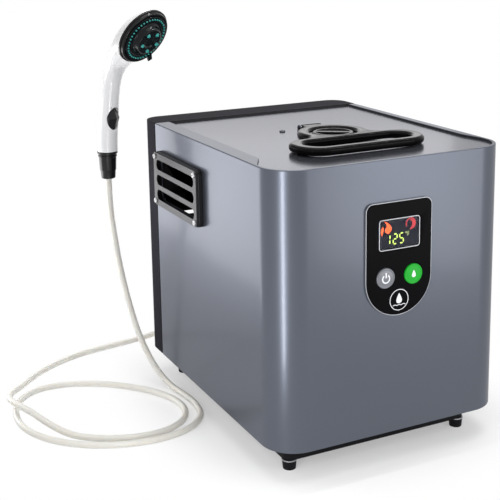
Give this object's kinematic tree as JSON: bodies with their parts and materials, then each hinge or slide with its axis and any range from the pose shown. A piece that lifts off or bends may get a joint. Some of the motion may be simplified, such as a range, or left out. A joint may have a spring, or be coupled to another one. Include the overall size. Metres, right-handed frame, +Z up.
{
  "type": "portable water heater",
  "caption": "Portable propane water heater in a metallic grey case, with control panel, exhaust grille, folding handle and hand shower on a hose.",
  "frame": {"origin": "on the floor under the middle of the casing", "axes": "+Z up, -Y towards the front with the control panel, -X towards the side with the exhaust grille"},
  "size_m": [0.5142, 0.519, 0.5009],
  "materials": {
    "case_metal": "fine metallic paint, satin",
    "cover_metal": "metallic paint, satin, darker",
    "black_plastic": "fine grain moulded",
    "gloss_black": "polished moulding",
    "trim_silver": "satin",
    "brushed": "brushed along its length",
    "bright_screw": "bright plated",
    "zinc_steel": "plain zinc-plated sheet",
    "rubber_black": "matt",
    "screen_glass": "tinted, clear gloss",
    "screen_dark": "dark display",
    "button_grey": "satin moulding",
    "button_green": "satin moulding",
    "board_green": "coated circuit board",
    "brass_part": "machined",
    "copper_part": "plain copper",
    "grey_plastic": "moulded",
    "battery_wrap": "film sleeve",
    "white_gloss": "polished moulding",
    "teal_rubber": "soft nozzles",
    "hose_silicone": "milky translucent silicone"
  },
  "bodies": {
    "heater": {"housing_wrap": "case_metal", "rear_cover": "cover_metal", "cover_screws": "bright_screw", "top_plate": "case_metal", "top_gasket": "rubber_black", "base_pan": "zinc_steel", "base_tray": "black_plastic", "feet": "rubber_black", "foot_washers": "bright_screw", "foot_screws": "bright_screw", "control_panel": "gloss_black", "panel_trim": "trim_silver", "display_lens": "screen_glass", "lcd_module": "screen_dark", "control_board": "board_green", "vent_frame": "black_plastic", "vent_plate": "brushed", "vent_screws": "bright_screw", "hinge_bracket": "zinc_steel", "hinge_pin": "bright_screw", "bracket_screws": "bright_screw", "lock_post": "bright_screw", "water_inlet": "brass_part", "water_outlet": "brass_part", "gas_inlet": "brass_part", "hose_nut": "black_plastic", "charge_socket": "black_plastic", "burner_tray": "zinc_steel", "burner_bars": "brushed", "gas_manifold": "brass_part", "gas_valve": "brass_part", "gas_pipe": "copper_part", "combustion_chamber": "zinc_steel", "exchanger_fins": "copper_part", "exchanger_tube": "copper_part", "exhaust_hood": "zinc_steel", "igniter": "white_gloss", "thermal_cutout": "brushed", "flow_sensor": "grey_plastic", "water_pump": "grey_plastic", "pump_pipe": "hose_silicone", "cold_pipe": "copper_part", "hot_pipe": "copper_part", "battery_pack": "battery_wrap", "battery_strap": "zinc_steel", "spark_module": "black_plastic", "handset_shell": "white_gloss", "spray_bezel": "gloss_black", "hose_collar": "black_plastic", "shower_hose": "hose_silicone"},
    "power_button": {"power_button": "button_grey"},
    "start_button": {"start_button": "button_green"},
    "carry_handle": {"carry_handle": "gloss_black"},
    "lock_knob": {"lock_knob": "black_plastic"},
    "socket_cap": {"socket_cap": "rubber_black"},
    "flow_rotor": {"flow_rotor": "white_gloss"},
    "pump_impeller": {"pump_impeller": "white_gloss"},
    "spray_face": {"spray_face": "black_plastic", "spray_nozzles": "teal_rubber"},
    "flow_button": {"flow_button": "black_plastic"}
  },
  "joints": [
    {"name": "handle_fold", "type": "hinge", "parent": "heater", "child": "carry_handle", "pos_m": [0, 0.005, 0.3545], "axis": [-1, 0, 0], "range_deg": [0, 90]},
    {"name": "knob_turn", "type": "hinge", "parent": "heater", "child": "lock_knob", "pos_m": [0, -0.0523, 0.355], "axis": [0, 0, 1], "range_deg": [0, 35]},
    {"name": "power_press", "type": "slide", "parent": "heater", "child": "power_button", "axis": [0, 1, 0], "range_m": [0, 0.001], "stiffness_N_per_m": 600, "springref_m": -0.0015},
    {"name": "start_press", "type": "slide", "parent": "heater", "child": "start_button", "axis": [0, 1, 0], "range_m": [0, 0.001], "stiffness_N_per_m": 600, "springref_m": -0.0015},
    {"name": "cap_lift", "type": "hinge", "parent": "heater", "child": "socket_cap", "pos_m": [-0.107, 0.1952, 0.0966], "axis": [1, 0, 0], "range_deg": [0, 100]},
    {"name": "flow_count", "type": "hinge", "parent": "heater", "child": "flow_rotor", "pos_m": [-0.048, 0.142, 0.078], "axis": [0, 0, 1], "continuous": true},
    {"name": "pump_spin", "type": "hinge", "parent": "heater", "child": "pump_impeller", "pos_m": [-0.11, 0.053, 0.078], "axis": [0, 1, 0], "continuous": true},
    {"name": "spray_select", "type": "hinge", "parent": "heater", "child": "spray_face", "pos_m": [-0.17278, 0.10574, 0.4657], "axis": [0.3522, -0.7912, -0.5], "range_deg": [-60, 60]},
    {"name": "flow_press", "type": "slide", "parent": "heater", "child": "flow_button", "axis": [-0.4067, 0.9135, 0], "range_m": [0, 0.0025], "stiffness_N_per_m": 500, "springref_m": -0.002}
  ]
}
